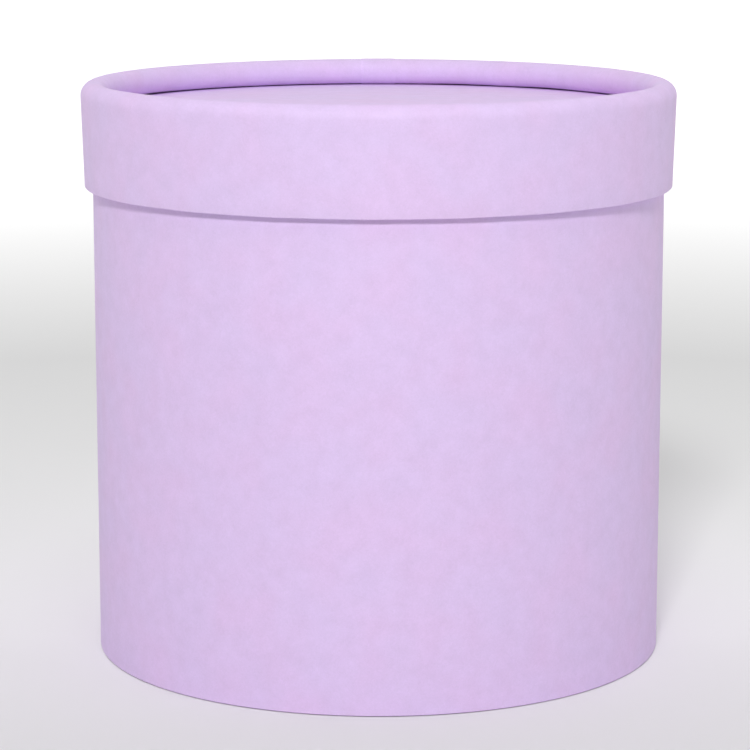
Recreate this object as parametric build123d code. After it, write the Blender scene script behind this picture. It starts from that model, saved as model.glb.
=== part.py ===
"""Round gift box of paper-covered board: a straight tube with a base, and a lid that slips over its mouth.

Millimetres, +Z up. The origin is at the middle of the base, on the surface that the box stands on.
The seams where the wrap papers overlap face +Y, so the front of the box faces -Y.
Both tubes are wound from three plies of board. The lid's tube is curled inwards and under at its top into a
round bead, which comes down to just above a disc. Paper is glued over every board, and a film of glue lies
between any two layers.
"""
from build123d import *
from math import atan, cos, degrees, radians, sin, tan
import os

# Board and paper, shared by the body and the lid
PLY = 0.45                   # one ply of the wound tubes
WRAP = 0.13                  # lilac paper, outside
LINING = 0.12                # white paper, inside
GLUE = 0.06                  # film between two layers
CUT_EDGE_ROUND = 0.3         # rounding of the tubes' cut edges, where the wrap folds round them
BUTT_GAP = 0.4               # a ply's two ends, which meet without overlapping
LAP_WIDTH = 10.0             # a wrap's two ends, which overlap
LINING_LAP = 4.0             # a lining's edge, over the edge of the wrap that is turned in

# Body
BODY_DIAMETER = 150.0        # over the wrap
BODY_HEIGHT = 141.0          # from the base to the mouth
BODY_TURN_IN = 14.0          # the wrap's edge, turned into the mouth
BASE_TURN_UNDER = 12.0       # the wrap's edge, turned under the base
BASE_DISC = 2.0              # board of the base
BASE_PAPER_INSET = 2.5       # from the box's side to the edge of the paper under the base
BASE_PAPER_SLOPE = 1.0       # the width over which that paper steps up to the board

# Lid
LID_HEIGHT = 27.25           # from the lid's lower edge to the top of its bead
LID_CLEARANCE = 0.3          # between the body's side and the paper inside the lid
LID_FLARE = 0.7              # how far the side leans out between the lower edge and the bead
LID_TURN_IN = 12.0           # the wrap's edge, turned in at the lower edge
LID_DISC = 2.0               # board of the lid's top
BEAD_RADIUS = 3.5            # the bead's round section, over the wrap
BEAD_GAP = 0.25              # between the bead and the lid's top paper
CURL_TURN = 270.0            # how far the curl turns, in degrees from straight out, to its cut end

PLY_NAMES = ("outer", "middle", "inner")
BACK = 90.0                  # direction of the seams, in degrees from +X
FRONT = -90.0
PLY_SEAMS = (BACK, FRONT, BACK)

# The layers of a wall: how far each face lies under the outer face of the wrap
PLY_STEP = PLY + GLUE
PLIES_AT = WRAP + GLUE
BORE_AT = PLIES_AT + len(PLY_NAMES) * PLY_STEP - GLUE
FLAP_AT = BORE_AT + GLUE
FLAP_FACE_AT = FLAP_AT + WRAP
CREASE_ROUND = CUT_EDGE_ROUND + GLUE
FOLD_ROUND = CREASE_ROUND + WRAP

# Body, worked out from its sizes
BODY_RADIUS = BODY_DIAMETER / 2
BASE_FOLD_Z = WRAP + GLUE
BASE_CREASE_Z = BASE_FOLD_Z + WRAP
BASE_BOARD_Z = BASE_CREASE_Z + GLUE
FLOOR_Z = BASE_BOARD_Z + BASE_DISC + GLUE
MOUTH_CREASE_Z = BODY_HEIGHT - WRAP
MOUTH_BOARD_Z = MOUTH_CREASE_Z - GLUE

# Lid, worked out from the mouth that it rests on
LID_DISC_Z = BODY_HEIGHT + LINING + GLUE
LID_TOP_Z = LID_DISC_Z + LID_DISC + GLUE
PANEL_Z = LID_TOP_Z + WRAP
CREST_Z = PANEL_Z + BEAD_GAP + 2 * BEAD_RADIUS
LID_EDGE_Z = CREST_Z - LID_HEIGHT
BEAD_Z = CREST_Z - BEAD_RADIUS
LEAN = atan(LID_FLARE / (BEAD_Z - LID_EDGE_Z))
CURL_END = radians(CURL_TURN)
LID_EDGE_RADIUS = BODY_RADIUS + LID_CLEARANCE + FLAP_FACE_AT / cos(LEAN)
BEAD_CENTRE = LID_EDGE_RADIUS + LID_FLARE - BEAD_RADIUS / cos(LEAN)


def at(radius, height):
    """A point of a section, in the plane of the X and Z axes."""
    return Vector(radius, 0, height)


def outline(*points):
    """A closed straight-sided section through points of (radius, height)."""
    return make_face(Polyline(*[at(*point) for point in points], close=True))


def softened(section, corners, radius):
    """The section with the corners at the given points of (radius, height) rounded."""
    nearest = [min(section.vertices(), key=lambda v: (Vector(v) - at(*spot)).length) for spot in corners]
    return fillet(nearest, radius)


def spun(section, middle_angle=BACK, left_out=0.0):
    """The section turned about Z, less a slot of left_out degrees in the direction middle_angle."""
    start = middle_angle + left_out / 2
    return revolve(Rot(0, 0, start) * section, Axis.Z, 360 - left_out)


def lapped(section_of, radius):
    """A wrap: one thickness of paper all round, and two where its ends overlap at the back."""
    lap = degrees(LAP_WIDTH / radius)
    single = spun(section_of(0), BACK, lap)
    double = spun(section_of(WRAP), BACK + 180, 360 - lap)
    return single + double


def wound(section_of_ply, radius):
    """The plies of a tube, outermost first. Each has its butt seam on the other side from its neighbour's."""
    slot = degrees(BUTT_GAP / radius)
    return [spun(section_of_ply(count), seam, slot) for count, seam in enumerate(PLY_SEAMS)]


def body_side(depth):
    """Radius of the body's straight side, at a depth under the wrap's outer face."""
    return BODY_RADIUS - depth


def body_ply_section(count):
    outer = body_side(PLIES_AT + count * PLY_STEP)
    inner = outer - PLY
    ring = outline(
        (inner, BASE_BOARD_Z), (outer, BASE_BOARD_Z), (outer, MOUTH_BOARD_Z), (inner, MOUTH_BOARD_Z),
    )
    if count == 0:
        return softened(ring, [(outer, BASE_BOARD_Z), (outer, MOUTH_BOARD_Z)], CUT_EDGE_ROUND)
    if count == len(PLY_NAMES) - 1:
        return softened(ring, [(inner, MOUTH_BOARD_Z)], CUT_EDGE_ROUND)
    return ring


def body_wrap_section(extra):
    """The wrap from under the base, up the side and over the mouth. extra is the lap's second thickness."""
    side, inside = body_side(-extra), body_side(WRAP)
    flap, flap_face = body_side(FLAP_AT), body_side(FLAP_FACE_AT)
    under = BODY_RADIUS - BASE_TURN_UNDER
    flap_end = BODY_HEIGHT - BODY_TURN_IN
    section = outline(
        (under, BASE_FOLD_Z), (side, BASE_FOLD_Z), (side, BODY_HEIGHT), (flap_face, BODY_HEIGHT),
        (flap_face, flap_end), (flap, flap_end), (flap, MOUTH_CREASE_Z), (inside, MOUTH_CREASE_Z),
        (inside, BASE_CREASE_Z), (under, BASE_CREASE_Z),
    )
    folds = [(side, BASE_FOLD_Z), (side, BODY_HEIGHT), (flap_face, BODY_HEIGHT)]
    creases = [(flap, MOUTH_CREASE_Z), (inside, MOUTH_CREASE_Z), (inside, BASE_CREASE_Z)]
    return softened(softened(section, folds, FOLD_ROUND), creases, CREASE_ROUND)


def lining(side, near, flap_end):
    """White paper on a bore from the height near, lapping over the wrap's edge that is turned in as far as
    flap_end. side gives the wall's radius at a depth and a height.
    """
    towards = 1 if flap_end > near else -1
    top = flap_end + towards * LINING_LAP
    step = flap_end - towards * (GLUE + LINING)
    wall, wall_face = FLAP_AT, FLAP_AT + LINING
    over, over_face = FLAP_FACE_AT + GLUE, FLAP_FACE_AT + GLUE + LINING
    places = (
        (wall, near), (wall, flap_end - towards * GLUE), (over, flap_end - towards * GLUE), (over, top),
        (over_face, top), (over_face, step), (wall_face, step), (wall_face, near),
    )
    return spun(outline(*[(side(depth, height), height) for depth, height in places]))


def body_lining():
    return lining(lambda depth, height: body_side(depth), FLOOR_Z, BODY_HEIGHT - BODY_TURN_IN)


def base_disc():
    return Pos(0, 0, BASE_BOARD_Z) * disc(body_side(FLAP_AT), BASE_DISC)


def floor_paper():
    return Pos(0, 0, FLOOR_Z) * disc(body_side(FLAP_AT + LINING + GLUE), LINING)


def base_paper():
    """Lilac paper under the base: it lies on the turned-under edge, and inside that on the board."""
    edge = BODY_RADIUS - BASE_PAPER_INSET
    flap_end = BODY_RADIUS - BASE_TURN_UNDER
    step = flap_end - BASE_PAPER_SLOPE
    return spun(outline(
        (0, BASE_FOLD_Z), (step, BASE_FOLD_Z), (flap_end, 0), (edge, 0), (edge, WRAP),
        (flap_end, WRAP), (step, BASE_CREASE_Z), (0, BASE_CREASE_Z),
    ))


def disc(radius, thickness):
    return Cylinder(radius, thickness, align=(Align.CENTER, Align.CENTER, Align.MIN))


def lid_side(depth, height):
    """Radius of the lid's leaning side at a height, at a depth under the wrap's outer face."""
    return LID_EDGE_RADIUS + (height - LID_EDGE_Z) * tan(LEAN) - depth / cos(LEAN)


def on_bead(depth, angle):
    """A point of the bead's round section, at a depth under its face and an angle from straight out."""
    radius = BEAD_RADIUS - depth
    return at(BEAD_CENTRE + radius * cos(angle), BEAD_Z + radius * sin(angle))


def curled_edges(depth, foot):
    """One face of the lid's side: up from foot, and round the bead to the end of the curl."""
    start, end = on_bead(depth, -LEAN), on_bead(depth, CURL_END)
    halfway = on_bead(depth, (CURL_END - LEAN) / 2)
    return [Line(at(lid_side(depth, foot), foot), start), ThreePointArc(start, halfway, end)]


def curl_toe(outer, inner):
    """The cut end of the curl, between two depths."""
    return Line(on_bead(outer, CURL_END), on_bead(inner, CURL_END))


def lid_ply_section(count):
    outer = PLIES_AT + count * PLY_STEP
    inner = outer + PLY
    foot = LID_EDGE_Z + WRAP + GLUE
    shoe = Line(at(lid_side(outer, foot), foot), at(lid_side(inner, foot), foot))
    faces = curled_edges(outer, foot) + curled_edges(inner, foot)
    ring = make_face(faces + [curl_toe(outer, inner), shoe])
    if count == 0:
        return softened(ring, [(lid_side(outer, foot), foot)], CUT_EDGE_ROUND)
    if count == len(PLY_NAMES) - 1:
        return softened(ring, [(lid_side(inner, foot), foot)], CUT_EDGE_ROUND)
    return ring


def lid_wrap_section(extra):
    """The wrap from the end of the curl, round the bead, down the side and in round the lower edge."""
    crease_z = LID_EDGE_Z + WRAP
    flap_end = LID_EDGE_Z + LID_TURN_IN
    fold, heel = (lid_side(-extra, LID_EDGE_Z), LID_EDGE_Z), (lid_side(FLAP_FACE_AT, LID_EDGE_Z), LID_EDGE_Z)
    crease, heel_crease = (lid_side(WRAP, crease_z), crease_z), (lid_side(FLAP_AT, crease_z), crease_z)
    flap_tip = (lid_side(FLAP_FACE_AT, flap_end), flap_end), (lid_side(FLAP_AT, flap_end), flap_end)
    turned_in = Polyline(*[at(*point) for point in (fold, heel, *flap_tip, heel_crease, crease)])
    faces = curled_edges(-extra, LID_EDGE_Z) + curled_edges(WRAP, crease_z)
    section = make_face(faces + [curl_toe(-extra, WRAP)] + turned_in.edges())
    return softened(softened(section, [fold, heel], FOLD_ROUND), [crease, heel_crease], CREASE_ROUND)


def lid_lining():
    return lining(lid_side, LID_DISC_Z - GLUE, LID_EDGE_Z + LID_TURN_IN)


def lid_disc():
    return Pos(0, 0, LID_DISC_Z) * disc(lid_side(FLAP_AT, LID_DISC_Z), LID_DISC)


def lid_top_paper():
    return Pos(0, 0, LID_TOP_Z) * disc(lid_side(FLAP_AT, LID_DISC_Z), WRAP)


def lid_under_paper():
    return Pos(0, 0, BODY_HEIGHT) * disc(lid_side(FLAP_AT + LINING + GLUE, BODY_HEIGHT), LINING)


def box_parts():
    """Every piece of the box by name, closed, with the lid resting on the mouth."""
    parts = {
        "body_wrap": lapped(body_wrap_section, BODY_RADIUS),
        "body_lining": body_lining(),
        "base_disc": base_disc(),
        "base_paper": base_paper(),
        "floor_paper": floor_paper(),
        "lid_wrap": lapped(lid_wrap_section, LID_EDGE_RADIUS),
        "lid_lining": lid_lining(),
        "lid_disc": lid_disc(),
        "lid_top_paper": lid_top_paper(),
        "lid_under_paper": lid_under_paper(),
    }
    for name, ply in zip(PLY_NAMES, wound(body_ply_section, BODY_RADIUS)):
        parts[f"body_{name}_ply"] = ply
    for name, ply in zip(PLY_NAMES, wound(lid_ply_section, LID_EDGE_RADIUS)):
        parts[f"lid_{name}_ply"] = ply
    return parts


os.makedirs("parts", exist_ok=True)
for node, shape in box_parts().items():
    export_step(shape, f"parts/{node}.step")
for name, size in (
    ("overall height", CREST_Z), ("lid edge height", LID_EDGE_Z), ("lid panel height", PANEL_Z),
    ("lid edge radius", LID_EDGE_RADIUS), ("bead centre radius", BEAD_CENTRE),
):
    print(name, round(size, 3))
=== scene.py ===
"""Looks of the round gift box: lilac paper glued over board, white paper inside, and a slip-on lid whose
curled rim stands above a sunk top.

Metres, +Z up, the origin at the middle of the base, the front facing -Y and the paper seams facing +Y.
Each paper is one closed skin of its real thickness. Its section is a path of (radius, height) points
that is carried round the upright axis: a point at angle a lies at (radius cos a, radius sin a, height).
"""
from math import atan, cos, pi, radians, sin, tan

import bpy
import numpy as np
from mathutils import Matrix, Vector


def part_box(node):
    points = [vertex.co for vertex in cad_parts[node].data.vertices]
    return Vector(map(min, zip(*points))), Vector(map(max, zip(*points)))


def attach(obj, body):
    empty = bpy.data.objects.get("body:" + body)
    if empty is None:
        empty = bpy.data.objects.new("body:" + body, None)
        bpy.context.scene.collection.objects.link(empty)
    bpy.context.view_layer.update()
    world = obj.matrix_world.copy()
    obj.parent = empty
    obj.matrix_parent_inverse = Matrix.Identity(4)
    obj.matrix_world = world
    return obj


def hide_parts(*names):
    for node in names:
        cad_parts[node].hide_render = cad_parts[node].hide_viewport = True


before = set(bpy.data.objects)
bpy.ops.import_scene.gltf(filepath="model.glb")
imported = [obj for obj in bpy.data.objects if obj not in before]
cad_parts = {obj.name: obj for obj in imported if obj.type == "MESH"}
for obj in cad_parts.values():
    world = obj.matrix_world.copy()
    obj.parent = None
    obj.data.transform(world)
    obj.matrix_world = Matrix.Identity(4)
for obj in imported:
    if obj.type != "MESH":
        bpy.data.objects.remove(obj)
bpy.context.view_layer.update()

MM = 0.001


# Camera: in front of the box and a little above it, with a long lens, as the photograph was taken.
# The box stands a hair right of the middle of the picture.
PICTURE_PIXELS = 750
FOCAL_PIXELS = 2884
CAMERA_BACK = 757.5 * MM
CAMERA_UP = 210.6 * MM
CAMERA_LEFT = 0.94 * MM
CAMERA_TILT = radians(10.38)

camera = bpy.data.objects.new("camera", bpy.data.cameras.new("camera"))
camera.data.lens = camera.data.sensor_width * FOCAL_PIXELS / PICTURE_PIXELS
camera.location = (-CAMERA_LEFT, -CAMERA_BACK, CAMERA_UP)
camera.rotation_euler = (pi / 2 - CAMERA_TILT, 0, 0)
bpy.context.scene.collection.objects.link(camera)
bpy.context.scene.camera = camera


# Studio: a pale sweep that is a little greyer in front of the box and glows further out on all sides, in a
# tent that is brighter behind it. The main lamp stands in front, low enough for the lid to throw a short
# shadow on the body, and a weaker one hangs high in front. Two more light the sides.
class Wire:
    """An output socket of a shader node. Sums, differences and products of wires add Math nodes."""

    def __init__(self, finish, socket):
        self.finish, self.socket = finish, socket

    def maths(self, operation, first, second):
        return self.finish.node("Math", {"operation": operation}, {0: first, 1: second})[0]

    def __add__(self, other):
        return self.maths("ADD", self, other)

    __radd__ = __add__

    def __mul__(self, other):
        return self.maths("MULTIPLY", self, other)

    __rmul__ = __mul__

    def __sub__(self, other):
        return self.maths("SUBTRACT", self, other)

    def __rsub__(self, other):
        return self.maths("SUBTRACT", other, self)


class Finish:
    """A material or world in the making: node() adds a node to it, and surface() sets its shader's inputs."""

    def __init__(self, owner):
        self.owner = owner
        owner.use_nodes = True
        self.tree = owner.node_tree

    def node(self, kind, settings, inputs):
        """Adds a node of the kind, with its settings, then its inputs as values or wires. A setting named
        stops is a ramp's list of (place, colour). The outputs come back by number and by name.
        """
        made = self.tree.nodes.new("ShaderNode" + kind)
        stops = settings.pop("stops", [])
        for name, value in settings.items():
            setattr(made, name, value)
        for number, (place, colour) in enumerate(stops):
            ramp = made.color_ramp.elements
            stop = ramp[number] if number < len(ramp) else ramp.new(place)
            stop.position, stop.color = place, colour
        for name, value in inputs.items():
            self.put(made.inputs[name], value)
        wires = {name: Wire(self, socket) for name, socket in made.outputs.items() if socket.enabled}
        return {**wires, **{number: Wire(self, socket) for number, socket in enumerate(made.outputs)}}

    def put(self, socket, value):
        """Joins a wire to the socket, or sets a plain value on it."""
        if isinstance(value, Wire):
            self.tree.links.new(value.socket, socket)
        else:
            socket.default_value = value

    def surface(self, shader="Principled BSDF", **inputs):
        """Sets the shader's inputs, each named as Blender names it, with _ for a space."""
        for name, value in inputs.items():
            self.put(self.tree.nodes[shader].inputs[name.replace("_", " ")], value)
        return self.owner


SWEEP_SIZE = 12.0
SWEEP_FRONT = (0.58, 0.58, 0.58, 1)
SWEEP_COLOUR = (0.87, 0.87, 0.87, 1)
PALER_FROM = -0.3               # along Y, where the sweep starts to get paler
GLOW_STARTS = 0.45              # how far from the middle of the box the glow starts
GLOW_FULL = 1.2                 # and how far out it is at its full strength
NO_GLOW, WHOLE_GLOW = (0, 0, 0, 1), (1, 1, 1, 1)
SWEEP_GLOW = 0.7
TENT_FRONT = (0.1, 0.1, 0.1, 1)
TENT_BACK = (0.85, 0.85, 0.85, 1)
LAMP_TARGET = (0, 0, 0.11)
LAMPS = {                       # degrees round from the front, degrees up, distance, size and power
    "main_lamp": (-6, 33.5, 2.8, 0.45, 44.0),
    "left_lamp": (-60, 25, 1.4, 0.5, 0.15),
    "right_lamp": (60, 20, 1.4, 0.5, 1.1),
    "top_lamp": (0, 66, 1.4, 0.45, 2.5),
}

sweep_mesh = bpy.data.meshes.new("sweep")
half = SWEEP_SIZE / 2
sweep_mesh.from_pydata([(-half, -half, 0), (half, -half, 0), (half, half, 0), (-half, half, 0)], [],
                       [(0, 1, 2, 3)])
sweep = bpy.data.objects.new("sweep", sweep_mesh)
bpy.context.scene.collection.objects.link(sweep)
sweep_white = Finish(bpy.data.materials.new("sweep_white"))
place = sweep_white.node("TexCoord", {}, {})["Object"]
depth = sweep_white.node("SeparateXYZ", {}, {"Vector": place})["Y"]
share = sweep_white.node("MapRange", {}, {"Value": depth, "From Min": PALER_FROM, "From Max": 0.0})[0]
grey = sweep_white.node("ValToRGB", {"stops": [(0, SWEEP_FRONT), (1, SWEEP_COLOUR)]}, {"Fac": share})["Color"]
away = sweep_white.node("VectorMath", {"operation": "LENGTH"}, {0: place})["Value"]
share = sweep_white.node("MapRange", {}, {"Value": away, "From Min": GLOW_STARTS, "From Max": GLOW_FULL})[0]
glow = sweep_white.node("ValToRGB", {"stops": [(0, NO_GLOW), (1, WHOLE_GLOW)]}, {"Fac": share})["Color"]
sweep_mesh.materials.append(sweep_white.surface(
    Base_Color=grey, Roughness=1.0, Specular_IOR_Level=0.0, Emission_Color=glow,
    Emission_Strength=SWEEP_GLOW))

tent = Finish(bpy.data.worlds.new("tent"))
direction = tent.node("TexCoord", {}, {})["Generated"]
behind = tent.node("SeparateXYZ", {}, {"Vector": direction})["Y"]
tone = tent.node("ValToRGB", {"stops": [(0.25, TENT_FRONT), (0.75, TENT_BACK)]},
                 {"Fac": 0.5 + behind * 0.5})["Color"]
bpy.context.scene.world = tent.surface("Background", Color=tone, Strength=1.0)
bpy.context.scene.view_settings.view_transform = "Standard"

for name, (azimuth, elevation, distance, size, power) in LAMPS.items():
    lamp = bpy.data.lights.new(name, "AREA")
    lamp.size, lamp.energy = size, power
    stand = bpy.data.objects.new(name, lamp)
    round_box, up = radians(azimuth), radians(elevation)
    outwards = Vector((cos(up) * sin(round_box), -cos(up) * cos(round_box), sin(up)))
    stand.location = Vector(LAMP_TARGET) + distance * outwards
    stand.rotation_euler = outwards.to_track_quat("Z", "Y").to_euler()
    bpy.context.scene.collection.objects.link(stand)


# Board: the wound plies of both tubes, the base and the lid's top. It is grey pulp board made from waste
# paper, dull and flecked. All of it is glued up under the papers.
BOARD_DARK = (0.30, 0.27, 0.23, 1)
BOARD_LIGHT = (0.56, 0.52, 0.46, 1)
PULP_SIZE = 2.5 * MM
FLECK_SIZE = 0.6 * MM
BOARD_GRAIN = 0.05 * MM

board = Finish(bpy.data.materials.new("grey_board"))
place = board.node("TexCoord", {}, {})["Object"]
pulp = board.node("TexNoise", {}, {"Vector": place, "Scale": 1 / PULP_SIZE, "Detail": 6.0})[0]
flecks = board.node("TexVoronoi", {}, {"Vector": place, "Scale": 1 / FLECK_SIZE})["Distance"]
tone = board.node("ValToRGB", {"stops": [(0.25, BOARD_DARK), (0.75, BOARD_LIGHT)]},
                  {"Fac": pulp * 0.8 + flecks * 0.3})["Color"]
grain = board.node("Bump", {}, {"Height": pulp, "Strength": 0.4, "Distance": BOARD_GRAIN})["Normal"]
board.surface(Base_Color=tone, Roughness=0.9, Normal=grain)
plies = [f"{tube}_{layer}_ply" for tube in ("body", "lid") for layer in ("outer", "middle", "inner")]
for node in plies + ["base_disc", "lid_disc"]:
    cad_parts[node].data.materials.clear()
    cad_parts[node].data.materials.append(board.owner)


# Body wrap: a strip of lilac paper round the tube. Its ends overlap at the back, its upper edge is turned
# into the mouth, where the spare length lies in small crimps, and its lower edge is turned under the base.
WRAP = 0.13 * MM                # thickness of a lilac paper
GLUE = 0.06 * MM                # film between two layers
WALL = 1.66 * MM                # from the wrap's outer face to the bore of the tube
FOLD_ROUND = 0.3 * MM           # the wrap's outer face, where it folds round a cut edge of board
CREASE_ROUND = 0.17 * MM        # its inner face there
BODY_TURN_IN = 14.0 * MM
BASE_TURN_UNDER = 12.0 * MM
LAP_WIDTH = 10.0 * MM
CUT_STEP = 0.03 * MM            # how far round the step at a paper's cut edge reaches
DRAPE = 1.2 * MM                # how far a paper takes to come down off the edge of another
COLUMNS = 1000                  # points round the axis
SAME_PLACE = 0.001 * MM         # points of a section closer than this are one
ROW_STEP = 4 * MM               # points along a plain stretch of a section
WALL_ROW = 35 * MM              # along a tall plain wall
FLAP_ROW = 1 * MM               # along the turned-in edge, for its crimps
PLEAT_ROW = 0.7 * MM            # along the turned-under edge, for its pleats
ARC_STEPS = 2                   # steps in each radian of an arc, and more for each millimetre of radius
ARC_STEPS_PER_MM = 0.85
ATLAS_EDGE = 0.005              # bare edge of the flat map that the materials are baked to
ATLAS_DISC = 0.24               # radius of a round sheet's face on that map
SHARPEST_FOLD = radians(38)
BACK = pi / 2
CRIMP_SHIFT = 0.35              # how far crimps stray from even places, in shares of their pitch
CRIMP_WIDTHS = (0.3, 0.55)      # half their width, also in shares of their pitch
CRIMP_HEIGHTS = (0.25, 1.0)     # in shares of the highest
MOUTH_CRIMPS = 150
MOUTH_CRIMP_HEIGHT = 0.07 * MM
FOOT_PLEATS = 170
FOOT_PLEAT_HEIGHT = 0.06 * MM
FOLD_CLEAR = 0.5 * MM           # how far from a fold crimps and pleats start
MOUTH_CRIMP_RISE = 4 * MM       # how far from the fold the crimps are at their highest
CRIMP_RUN_OUT = 3 * MM          # over what height they run out at the turned-in edge
FOOT_PLEAT_RISE = 1.5 * MM
LILAC = (0.765, 0.588, 0.893, 1)
LILAC_PINK = (0.777, 0.582, 0.887, 1)
LILAC_BLUE = (0.757, 0.592, 0.898, 1)
DRIFT_SIZE = 17 * MM
CLOUD_SIZE = 4.2 * MM
FIBRE_SIZE = 0.7 * MM
PAPER_GRAIN = 0.03 * MM         # how deep the fibres' relief is
WEAR_AND_HIGHLIGHT = 0.10                   # how much paler the paper is along a fold: partly rubbed wear, partly a painted highlight
WEAR_AND_HIGHLIGHT_WIDTH = 0.5 * MM
TONE = 0.855                    # how light the thinnest paper is, as a share of its colour
CLOUD_TONE, FIBRE_TONE = 0.13, 0.16


def reach(node):
    """The greatest distance of a CAD node's points from the axis."""
    return max(vertex.co.xy.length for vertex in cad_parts[node].data.vertices)


def rounded_path(corners):
    """A closed path through corners of (radius, height, rounding, row step, face), anticlockwise: its points,
    and the name of the face that each belongs to. An arc takes the place of a corner with a rounding: it
    touches both sides, and starts at rounding / tan(half the corner's angle) from the corner. The straight
    side after the corner has a point every row step.
    """
    spots = np.array([corner[:2] for corner in corners])
    before, after = np.roll(spots, 1, 0) - spots, np.roll(spots, -1, 0) - spots
    before /= np.linalg.norm(before, axis=1)[:, None]
    after /= np.linalg.norm(after, axis=1)[:, None]
    half_angle = np.arccos(np.clip((before * after).sum(1), -1, 1)) / 2
    rounding = np.array([corner[2] for corner in corners])
    starts = spots + before * (rounding / np.tan(half_angle))[:, None]
    ends = spots + after * (rounding / np.tan(half_angle))[:, None]
    points, faces = [], []
    for number, (_, _, radius, row_step, face) in enumerate(corners):
        arc = starts[number][None]
        if radius:
            to_middle = before[number] + after[number]
            to_middle = to_middle / np.linalg.norm(to_middle)
            middle = spots[number] + to_middle * radius / np.sin(half_angle[number])
            first = np.arctan2(*(starts[number] - middle)[::-1])
            last = np.arctan2(*(ends[number] - middle)[::-1])
            swing = (last - first + pi) % (2 * pi) - pi
            steps = int(np.ceil(abs(swing) * (ARC_STEPS + ARC_STEPS_PER_MM * radius / MM)))
            angles = first + swing * np.linspace(0, 1, steps + 1)
            arc = middle + radius * np.stack([np.cos(angles), np.sin(angles)], 1)
        side = starts[(number + 1) % len(corners)] - arc[-1]
        steps = max(1, int(np.ceil(np.linalg.norm(side) / row_step)))
        stretch = np.concatenate([arc, arc[-1] + side * (np.arange(1, steps) / steps)[:, None]])
        points.append(stretch)
        faces += [face] * len(stretch)
    points, faces = np.concatenate(points), np.array(faces)
    apart = np.linalg.norm(np.roll(points, -1, 0) - points, axis=1) > SAME_PLACE
    return points[apart], faces[apart]


def round_skin(name, section, angles, move=None):
    """The section carried round the axis at the angles, as a smooth closed mesh. A section that starts and
    ends on the axis gives a round sheet, and any other a ring. move(angle, point, normal, face) gives how far
    each point shifts outwards and upwards.
    """
    points, faces = section
    columns, rows = len(angles), len(points)
    sheet = points[0, 0] == 0
    along = np.gradient(points, axis=0) if sheet else np.roll(points, -1, 0) - np.roll(points, 1, 0)
    normal = np.stack([along[:, 1], -along[:, 0]]) / np.linalg.norm(along, axis=1)
    spread = angles[:, None]
    out, up = move(spread, points.T, normal, faces) if move else (0, 0)
    radius, height = points[:, 0] + out + 0 * spread, points[:, 1] + up + 0 * spread
    places = np.stack([radius * np.cos(spread), radius * np.sin(spread), height], -1).reshape(-1, 3)

    index = np.arange(columns * rows).reshape(columns, rows)
    if sheet:
        index[:, 0], index[:, -1] = index[0, 0], index[0, -1]
    index = np.concatenate([index, index[:1]])
    if not sheet:
        index = np.concatenate([index, index[:, :1]], 1)
    corners = np.stack([index[:-1, :-1], index[1:, :-1], index[1:, 1:], index[:-1, 1:]], -1)
    kept = np.ones(corners.shape, bool)
    if sheet:
        kept[:, 0, 1] = kept[:, -1, 3] = False

    whole = points if sheet else np.concatenate([points, points[:1]])
    stretches = np.linalg.norm(np.diff(whole, axis=0), axis=1)
    length = np.concatenate([[0], np.cumsum(stretches)])[None] / stretches.sum()
    turn = np.append(angles, angles[0] + 2 * pi)[:, None]
    if sheet:
        lower, upper = (loop_corners(disc_place(turn, length, face)) for face in ("lower", "upper"))
        atlas = np.where(length[:, :-1, None, None] > 0.5, upper, lower)
    else:
        atlas = loop_corners(np.stack([(turn - turn[0]) / (2 * pi) + 0 * length, length + 0 * turn], -1))
    return skin_object(name, places, corners[kept], kept.sum(-1).ravel(), atlas[kept])


def loop_corners(grid):
    """The four corners of each cell of a grid of values, in the order in which round_skin goes round it."""
    return np.stack([grid[:-1, :-1], grid[1:, :-1], grid[1:, 1:], grid[:-1, 1:]], 2)


def disc_place(turn, length, face):
    """Where a round sheet's points lie on its flat map: its lower face is the left disc and its upper face
    the right one, each point as far from the disc's middle as it is from the axis along the section.
    """
    middle, far = (0.75, 1 - length) if face == "upper" else (0.25, length)
    far = far * 2 * ATLAS_DISC
    return np.stack([middle + far * np.cos(turn), 0.5 + far * np.sin(turn)], -1)


def skin_object(name, places, corners, sizes, atlas):
    """A smooth mesh object from points, the faces' corners in a row with each face's number of corners, and
    the corners' places on the flat map.
    """
    used, corners = np.unique(corners, return_inverse=True)
    mesh = bpy.data.meshes.new(name)
    mesh.vertices.add(len(used))
    mesh.vertices.foreach_set("co", places[used].astype(np.float32).ravel())
    mesh.loops.add(len(corners))
    mesh.loops.foreach_set("vertex_index", corners.astype(np.int32).ravel())
    mesh.polygons.add(len(sizes))
    mesh.polygons.foreach_set("loop_start", (np.cumsum(sizes) - sizes).astype(np.int32))
    mesh.update(calc_edges=True)
    layer = mesh.uv_layers.new(name="OFBake")
    layer.uv.foreach_set("vector", (ATLAS_EDGE + (1 - 2 * ATLAS_EDGE) * atlas).astype(np.float32).ravel())
    mesh.shade_smooth()
    mesh.set_sharp_from_angle(angle=SHARPEST_FOLD)
    made = bpy.data.objects.new(name, mesh)
    bpy.context.scene.collection.objects.link(made)
    return made


def turns(*extra):
    """Even angles round the axis from the back on, with extra ones put in, each measured from the back."""
    even = np.arange(COLUMNS) * 2 * pi / COLUMNS
    return BACK + np.unique(np.concatenate([even, *[np.atleast_1d(angles) % (2 * pi) for angles in extra]]))


def lap_turns(radius, middle=0.0, width=LAP_WIDTH):
    """Extra angles, measured from the back, where a lap's cut edge and its draped edge need close columns."""
    cut = width / 2 + CUT_STEP * np.array([-3, -0.5, 0.5, 3])
    drape = -width / 2 + DRAPE * np.linspace(-0.5, 0.5, 7)
    return middle + np.concatenate([cut, drape]) / radius


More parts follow.
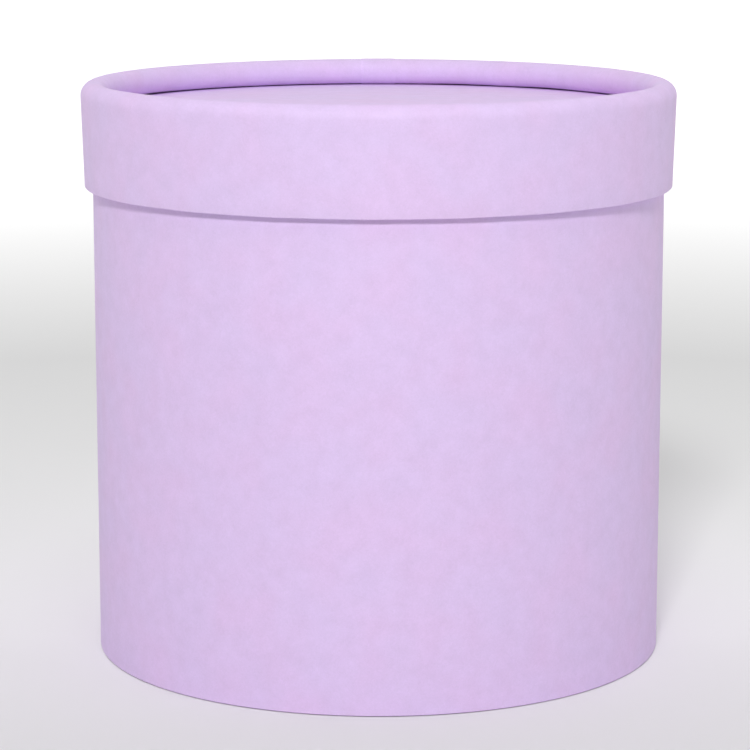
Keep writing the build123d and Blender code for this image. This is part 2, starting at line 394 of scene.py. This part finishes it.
def lap_share(angle, radius, middle=0.0, width=LAP_WIDTH):
    """1 where a strip's ends overlap and 0 elsewhere: a sheer step at the upper end's cut edge, and a
    smooth ramp of width DRAPE where that end comes down off the edge of the lower one.
    """
    arc = ((angle - BACK - middle + pi) % (2 * pi) - pi) * radius
    cut = np.clip(0.5 - (arc - width / 2) / CUT_STEP, 0, 1)
    return cut * eased(arc, -width / 2 - DRAPE / 2, -width / 2 + DRAPE / 2)


def eased(value, start, end):
    """0 up to start and 1 from end on, and 3 x^2 - 2 x^3 of the share x of the way between them."""
    share = np.clip((value - start) / (end - start), 0, 1)
    return share * share * (3 - 2 * share)


def crimps(angle, count, seed):
    """Small folds in a strip that was turned onto a tighter circle: count raised bumps of uneven spacing,
    width and height. Each is the square of half a cosine wave, and the highest are close to 1.
    """
    random = np.random.default_rng(seed)
    pitch = 2 * pi / count
    middles = (np.arange(count) + random.uniform(-CRIMP_SHIFT, CRIMP_SHIFT, count)) * pitch
    widths = random.uniform(*CRIMP_WIDTHS, count) * pitch
    heights = random.uniform(*CRIMP_HEIGHTS, count)
    away = (angle - middles + pi) % (2 * pi) - pi
    return (heights * np.cos(np.clip(away / widths, -1, 1) * pi / 2) ** 2).max(-1, keepdims=True)


def lilac_paper(name, cut_turn, cut_from, *folds):
    """Uncoated lilac paper: fine fibres, soft clouds where the pulp lies thicker, and a slow drift between a
    pinker and a bluer lilac. The colour is paler along each fold, a ring of (radius, height), and along
    the cut edge of the lap, at the angle cut_turn and outwards from the radius cut_from. This is partly
    rubbed wear and partly a painted highlight where the edge catches the light. A point (x, y) lies
    y cos(cut_turn) - x sin(cut_turn) beside that edge.
    """
    paper = Finish(bpy.data.materials.new(name))
    place = paper.node("TexCoord", {}, {})["Object"]
    drift = paper.node("TexNoise", {}, {"Vector": place, "Scale": 1 / DRIFT_SIZE, "Detail": 2.0})[0]
    clouds = paper.node("TexNoise", {}, {"Vector": place, "Scale": 1 / CLOUD_SIZE, "Detail": 3.0})[0]
    fibres = paper.node("TexNoise", {}, {"Vector": place, "Scale": 1 / FIBRE_SIZE, "Detail": 3.0,
                                         "Roughness": 0.6, "Distortion": 1.2})[0]
    tint = paper.node("ValToRGB", {"stops": [(0.35, LILAC_PINK), (0.5, LILAC), (0.65, LILAC_BLUE)]},
                      {"Fac": drift})["Color"]
    tone = TONE + clouds * CLOUD_TONE + fibres * FIBRE_TONE
    axes = paper.node("SeparateXYZ", {}, {"Vector": place})
    level = paper.node("VectorMath", {"operation": "MULTIPLY"}, {0: place, 1: (1, 1, 0)})[0]
    radius = paper.node("VectorMath", {"operation": "LENGTH"}, {0: level})["Value"]
    beside = axes["Y"] * cos(cut_turn) - axes["X"] * sin(cut_turn)
    behind = axes["Y"].maths("GREATER_THAN", axes["Y"], 0.0) * radius.maths("GREATER_THAN", radius, cut_from)
    # The paler rings at the folds and the paler line at the lap's cut edge: rubbed wear and a painted
    # highlight.
    worn_and_highlit_rings = [(radius - fold, axes["Z"] - height, 1) for fold, height in folds]
    for out, up, share in worn_and_highlit_rings + [(beside, 0, behind)]:
        near = paper.node("MapRange", {"interpolation_type": "SMOOTHSTEP"}, {
            "Value": out * out + up * up, "From Min": 0.0, "From Max": WEAR_AND_HIGHLIGHT_WIDTH ** 2, "To Min": WEAR_AND_HIGHLIGHT,
            "To Max": 0.0})[0]
        tone = tone + near * fibres * share
    colour = paper.node("VectorMath", {"operation": "SCALE"}, {"Vector": tint, "Scale": tone})["Vector"]
    grain = paper.node("Bump", {}, {"Height": fibres + clouds, "Strength": 0.5,
                                    "Distance": PAPER_GRAIN})["Normal"]
    return paper.surface(Base_Color=colour, Roughness=0.62, Specular_IOR_Level=0.45, Normal=grain)


def dress(piece, body, slot, finish, *nodes):
    """Gives the piece its finish, lets it ride on the body and stand for the nodes."""
    piece.data.materials.append(finish)
    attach(piece, body)
    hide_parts(*nodes)


body_radius = reach("body_wrap") - WRAP
body_foot, body_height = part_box("body_wrap")[0].z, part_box("body_wrap")[1].z
body_bore = body_radius - WALL - GLUE
body_flap_end = body_height - BODY_TURN_IN


def mouth_crimps(angle, height):
    """The crimps of the wrap's turned-in edge, which run out towards its end."""
    shown = eased(height, body_flap_end, body_flap_end + CRIMP_RUN_OUT)
    return MOUTH_CRIMP_HEIGHT * crimps(angle, MOUTH_CRIMPS, seed=3) * shown


def body_wrap_move(angle, point, normal, face):
    """Outwards by the paper's thickness where the ends overlap, inwards by the crimps inside the mouth, and
    downwards by the pleats outside the base paper. Crimps and pleats start a little away from the folds.
    """
    radius, height = point
    lap = WRAP * lap_share(angle, body_radius) * (face == "outside") * np.maximum(normal[0], 0)
    mouth = mouth_crimps(angle, height) * (face == "flap")
    mouth = mouth * eased(body_height - height, FOLD_CLEAR, MOUTH_CRIMP_RISE)
    foot = FOOT_PLEAT_HEIGHT * crimps(angle, FOOT_PLEATS, seed=5) * (face == "under")
    foot = foot * eased(radius, reach("base_paper"), reach("base_paper") + FOLD_CLEAR)
    return lap - mouth, -foot * eased(body_radius - radius, FOLD_CLEAR, FOOT_PLEAT_RISE)


bore, flap_face = body_radius - WRAP, body_bore - WRAP
under, crease_foot, crease_mouth = body_radius - BASE_TURN_UNDER, body_foot + WRAP, body_height - WRAP
body_paper = round_skin("body_paper", rounded_path([
    (under, body_foot, 0, PLEAT_ROW, "under"), (body_radius, body_foot, FOLD_ROUND, WALL_ROW, "outside"),
    (body_radius, body_height, FOLD_ROUND, ROW_STEP, "outside"),
    (flap_face, body_height, FOLD_ROUND, FLAP_ROW, "flap"), (flap_face, body_flap_end, 0, ROW_STEP, "end"),
    (body_bore, body_flap_end, 0, WALL_ROW, "glued"),
    (body_bore, crease_mouth, CREASE_ROUND, ROW_STEP, "glued"),
    (bore, crease_mouth, CREASE_ROUND, 2 * WALL_ROW, "glued"),
    (bore, crease_foot, CREASE_ROUND, ROW_STEP, "glued"), (under, crease_foot, 0, ROW_STEP, "end"),
]), turns(lap_turns(body_radius)), body_wrap_move)
body_finish = lilac_paper("lilac_body_paper", BACK + LAP_WIDTH / 2 / body_radius, flap_face - WRAP,
                          (body_radius, body_height), (body_radius, body_foot))
dress(body_paper, "box", "lilac_paper", body_finish, "body_wrap")


# Base paper: the round of lilac paper under the box. It hides the turned-under edge of the wrap, whose
# pleats show through it as faint rays.
PLEAT_SHOW = 0.05 * MM
BASE_SLOPE = 2.0 * MM           # the width over which it comes down from the board onto that edge
base_radius = reach("base_paper")
base_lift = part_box("base_paper")[1].z - WRAP


def round_sheet(radii, low, high, lifts=0.0):
    """The section of a round sheet: from the axis out through the radii along its lower face, and back along
    its upper face. Both faces lie higher by the lifts.
    """
    lower = np.stack([radii, low + lifts + 0 * radii], 1)
    upper = np.stack([radii, high + lifts + 0 * radii], 1)
    return np.concatenate([lower, upper[::-1]]), np.repeat(["lower", "upper"], len(radii))


def base_move(angle, point, normal, face):
    """Upwards between the pleats, so that each pleat stays as a ray. The rays rise over the slope's width."""
    radius, height = point
    rays = PLEAT_SHOW * (1 - crimps(angle, FOOT_PLEATS, seed=5))
    return 0, rays * eased(radius, under, under + BASE_SLOPE)


base_radii = np.concatenate([[0], np.arange(under - BASE_SLOPE, base_radius, PLEAT_ROW), [base_radius]])
base_lifts = base_lift * (1 - eased(base_radii, under - BASE_SLOPE, under))
base_round = round_skin("base_round", round_sheet(base_radii, 0, WRAP, base_lifts), turns(), base_move)
dress(base_round, "box", "lilac_paper", body_finish, "base_paper")


# Body lining: white paper up the inside of the tube. Its upper edge laps over the end of the wrap's
# turned-in edge, and its own ends overlap a little to one side of the back.
LINING = 0.12 * MM
LINING_LAP = 4.0 * MM
LINING_SEAM = 5.0 * MM
LINING_SEAM_TURN = 0.3          # radians from the back
LINING_ROW = 30 * MM            # points along a lining's plain wall
LINING_LAP_ROW = 0.8 * MM       # and where it lies over the turned-in edge
WHITE = (0.87, 0.865, 0.85, 1)
WHITE_SHADE = (0.82, 0.815, 0.80, 1)
WHITE_CLOUD_SIZE = 6.3 * MM
WHITE_FIBRE_SIZE = 0.8 * MM


def lining_section(side, near, flap_end):
    """A lining's section from the height near to its lap over the turned-in edge that ends at flap_end: up
    the wall, a ramp onto that edge, and the lap. Its face and its back are the same line, a paper's
    thickness apart. side(depth, height) gives the wall's radius at a depth under the wrap's outer face.
    """
    towards = 1 if flap_end > near else -1
    top, foot_of_ramp = flap_end + towards * LINING_LAP, flap_end - towards * DRAPE
    head_of_ramp = flap_end - towards * GLUE
    wall, over = WALL + GLUE, WALL + GLUE + WRAP + GLUE
    hidden = [(wall, near, LINING_ROW), (wall, foot_of_ramp, ROW_STEP), (over, head_of_ramp, LINING_LAP_ROW),
              (over, top, ROW_STEP)]
    seen = [(depth + LINING, height, step) for depth, height, step in
            [(over, top, LINING_LAP_ROW), (over, head_of_ramp, ROW_STEP), (wall, foot_of_ramp, LINING_ROW),
             (wall, near, ROW_STEP)]]
    faces = ["glued"] * 3 + ["end"] + ["seen"] * 3 + ["end"]
    corners = [(side(depth, height), height, 0, step, face)
               for (depth, height, step), face in zip(hidden + seen, faces)]
    if towards < 0:
        corners = [(*corner[:3], *earlier[3:]) for corner, earlier in
                   zip(corners[::-1], corners[-2::-1] + corners[-1:])]
    return rounded_path(corners)


def body_side(depth, height):
    """Radius of the body's upright side at a depth under the wrap's outer face, the same at every height."""
    return body_radius - depth


def body_lining_move(angle, point, normal, face):
    """Inwards by the lining's thickness at its seam, and by the crimps that it lies over."""
    radius, height = point
    seam = LINING * lap_share(angle, body_bore, LINING_SEAM_TURN, LINING_SEAM) * (face == "seen")
    return -seam - mouth_crimps(angle, height), 0


def white_paper(name):
    """Uncoated white paper with fine fibres and soft clouds."""
    paper = Finish(bpy.data.materials.new(name))
    place = paper.node("TexCoord", {}, {})["Object"]
    clouds = paper.node("TexNoise", {}, {"Vector": place, "Scale": 1 / WHITE_CLOUD_SIZE, "Detail": 3.0})[0]
    fibres = paper.node("TexNoise", {}, {"Vector": place, "Scale": 1 / WHITE_FIBRE_SIZE, "Detail": 3.0,
                                         "Distortion": 1.0})[0]
    tint = paper.node("ValToRGB", {"stops": [(0.3, WHITE_SHADE), (0.7, WHITE)]},
                      {"Fac": clouds * 0.5 + fibres * 0.5})["Color"]
    grain = paper.node("Bump", {}, {"Height": fibres + clouds, "Strength": 0.5,
                                    "Distance": PAPER_GRAIN})["Normal"]
    return paper.surface(Base_Color=tint, Roughness=0.85, Specular_IOR_Level=0.3, Normal=grain)


white_finish = white_paper("white_paper")
body_inside = round_skin(
    "body_inside", lining_section(body_side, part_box("body_lining")[0].z, body_flap_end),
    turns(lap_turns(body_bore, LINING_SEAM_TURN, LINING_SEAM)), body_lining_move)
dress(body_inside, "box", "white_paper", white_finish, "body_lining")


# Floor paper: a round of white paper on the floor of the box, cut a little smaller than the bore so that
# it drops in past the lining's seam.
FLOOR_ROOM = 0.15 * MM
DISC_ROWS = 8


def plain_disc(name, node, room):
    """A flat round sheet in the place of a CAD node, smaller than it by room all round."""
    radii = np.linspace(0, reach(node) - room, DISC_ROWS)
    return round_skin(name, round_sheet(radii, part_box(node)[0].z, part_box(node)[1].z), turns())


floor_round = plain_disc("floor_round", "floor_paper", FLOOR_ROOM)
dress(floor_round, "box", "white_paper", white_finish, "floor_paper")


# Lid wrap: a strip of lilac paper round the lid's tube, curled with it inwards and under into the rim's
# roll, which ends just above the sunk top. At the lower edge it is turned in. Its ends overlap at the back.
BEAD_RADIUS = 3.5 * MM
LID_FLARE = 0.7 * MM            # how far the side leans out on its way up to the bead
LID_TURN_IN = 12.0 * MM
LID_CRIMPS = 140
LID_CRIMP_HEIGHT = 0.05 * MM
LID_CRIMP_RISE = 3 * MM
CURL_WANDER = 0.12 * MM         # how unevenly the underside of the roll comes down to the sunk top
EDGE_WANDER = 0.07 * MM         # the unevenness of the lower edge
EDGE_WANDER_END = 4 * MM        # how far up it reaches
WANDER_TURNS = (2, 24)          # how many turns its sines have, from the first up to below the second
LID_SIDE_ROW = 3 * MM
LID_FLAP_ROW = 1.5 * MM

lid_foot, lid_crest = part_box("lid_wrap")[0].z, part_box("lid_wrap")[1].z - WRAP
bead_middle, bead_height = reach("lid_wrap") - WRAP - BEAD_RADIUS, lid_crest - BEAD_RADIUS
lean = atan(LID_FLARE / (bead_height - lid_foot))
lid_foot_radius = bead_middle + BEAD_RADIUS / cos(lean) - LID_FLARE
lid_flap_end = lid_foot + LID_TURN_IN


def lid_side(depth, height):
    """Radius of the lid's leaning side at a height, at a depth under the wrap's outer face: the radius at
    the foot, plus the height above it times tan(lean), less depth / cos(lean).
    """
    return lid_foot_radius + (height - lid_foot) * tan(lean) - depth / cos(lean)


def wander(angle, waves, seed):
    """A smooth uneven line round the lid, between -1 and 1: the mean of waves sines, each with its own number
    of turns and its own start.
    """
    random = np.random.default_rng(seed)
    counts, starts = random.integers(*WANDER_TURNS, waves), random.uniform(0, 2 * pi, waves)
    return np.sin(angle * counts + starts).mean(-1, keepdims=True)


def lid_crimps(angle, height):
    """The crimps of the lid's turned-in edge, which run out towards its end under the lining."""
    shown = eased(lid_flap_end - height, 0, CRIMP_RUN_OUT)
    return LID_CRIMP_HEIGHT * crimps(angle, LID_CRIMPS, seed=7) * shown


def lid_wrap_move(angle, point, normal, face):
    """Outwards by the paper's thickness where the ends overlap, inwards by the crimps of the turned-in edge,
    and up or down by the unevenness of the curl and of the lower edge.
    """
    radius, height = point
    lap = WRAP * lap_share(angle, lid_foot_radius) * (face == "outside")
    crimped = lid_crimps(angle, height) * (face == "flap")
    crimped = crimped * eased(height - lid_foot, FOLD_CLEAR, LID_CRIMP_RISE)
    on_curl = (radius < bead_middle + BEAD_RADIUS / 2) & (height > lid_flap_end)
    curl = CURL_WANDER * wander(angle, 7, seed=11) * (1 - eased(height, curl_end, bead_height)) * on_curl
    edge = EDGE_WANDER * wander(angle, 6, seed=13) * (1 - eased(height, lid_foot, lid_foot + EDGE_WANDER_END))
    return lap * normal[0] - crimped, lap * normal[1] * (height > curl_end) - curl + edge


bead_inside, curl_end = bead_middle - BEAD_RADIUS, bead_height - BEAD_RADIUS
lid_crease, inner_bead = lid_foot + WRAP, BEAD_RADIUS - WRAP
flap_at, flap_face_at = WALL + GLUE, WALL + GLUE + WRAP
lid_paper = round_skin("lid_paper", rounded_path([
    (lid_side(0, lid_foot), lid_foot, FOLD_ROUND, LID_SIDE_ROW, "outside"),
    (lid_side(0, lid_crest), lid_crest, BEAD_RADIUS, ROW_STEP, "outside"),
    (bead_inside, lid_crest, BEAD_RADIUS, ROW_STEP, "outside"),
    (bead_inside, curl_end, BEAD_RADIUS, ROW_STEP, "outside"), (bead_middle, curl_end, 0, ROW_STEP, "toe"),
    (bead_middle, curl_end + WRAP, 0, ROW_STEP, "glued"),
    (bead_inside + WRAP, curl_end + WRAP, inner_bead, ROW_STEP, "glued"),
    (bead_inside + WRAP, lid_crest - WRAP, inner_bead, ROW_STEP, "glued"),
    (lid_side(WRAP, lid_crest - WRAP), lid_crest - WRAP, inner_bead, 3 * ROW_STEP, "glued"),
    (lid_side(WRAP, lid_crease), lid_crease, CREASE_ROUND, ROW_STEP, "glued"),
    (lid_side(flap_at, lid_crease), lid_crease, CREASE_ROUND, ROW_STEP, "glued"),
    (lid_side(flap_at, lid_flap_end), lid_flap_end, 0, ROW_STEP, "end"),
    (lid_side(flap_face_at, lid_flap_end), lid_flap_end, 0, LID_FLAP_ROW, "flap"),
    (lid_side(flap_face_at, lid_foot), lid_foot, FOLD_ROUND, ROW_STEP, "flap"),
]), turns(lap_turns(lid_foot_radius)), lid_wrap_move)
lid_finish = lilac_paper("lilac_lid_paper", BACK + LAP_WIDTH / 2 / lid_foot_radius, bead_inside - WRAP,
                         (lid_foot_radius, lid_foot))
dress(lid_paper, "lid", "lilac_paper", lid_finish, "lid_wrap")


# Lid top paper: a round of lilac paper, glued flat on the board that forms the sunk top. The end of the
# curl comes down just above it and hides its edge.
lid_panel = plain_disc("lid_panel", "lid_top_paper", 0.0)
dress(lid_panel, "lid", "lilac_paper", lid_finish, "lid_top_paper")


# Lid lining and the paper under the lid's top: white, as inside the box. The lining's lower edge laps over
# the end of the wrap's turned-in edge, and its own ends overlap a little to one side of the back.
def lid_lining_move(angle, point, normal, face):
    """Inwards by the lining's thickness at its seam, and by the crimps that it lies over."""
    radius, height = point
    seam = LINING * lap_share(angle, lid_foot_radius, LINING_SEAM_TURN, LINING_SEAM) * (face == "seen")
    return -seam - lid_crimps(angle, height), 0


lid_inside = round_skin(
    "lid_inside", lining_section(lid_side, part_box("lid_lining")[1].z, lid_flap_end),
    turns(lap_turns(lid_foot_radius, LINING_SEAM_TURN, LINING_SEAM)), lid_lining_move)
dress(lid_inside, "lid", "white_paper", white_finish, "lid_lining")
lid_underside = plain_disc("lid_underside", "lid_under_paper", FLOOR_ROOM)
dress(lid_underside, "lid", "white_paper", white_finish, "lid_under_paper")
